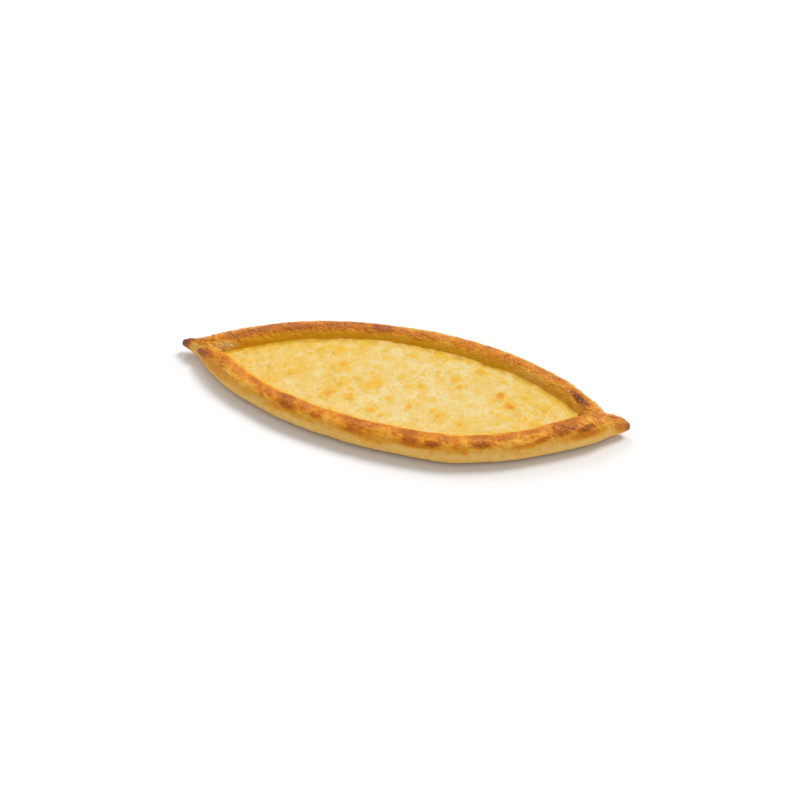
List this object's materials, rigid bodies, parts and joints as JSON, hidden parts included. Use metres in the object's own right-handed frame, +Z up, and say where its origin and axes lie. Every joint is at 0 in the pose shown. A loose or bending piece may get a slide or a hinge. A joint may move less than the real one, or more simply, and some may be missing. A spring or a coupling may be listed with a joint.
{
  "type": "turkish pide",
  "caption": "Boat-shaped flatbread with rolled golden rims and two pointed ends, open on top over a level filling of melted cheese.",
  "frame": {"origin": "on the plane it rests on, at the middle of its outline", "axes": "+X along its length towards the tip that the near rim runs into, +Y across towards the far rim, +Z up"},
  "size_m": [0.3498, 0.1314, 0.021],
  "materials": {
    "baked_crust": "golden baked dough, egg-washed and browned along the crest of its rims, paler low on its sides",
    "melted_cheese": "melted pale yellow cheese with a soft oily sheen and golden blisters"
  },
  "bodies": {
    "root": {"crust": "baked_crust", "cheese": "melted_cheese"}
  },
  "joints": []
}
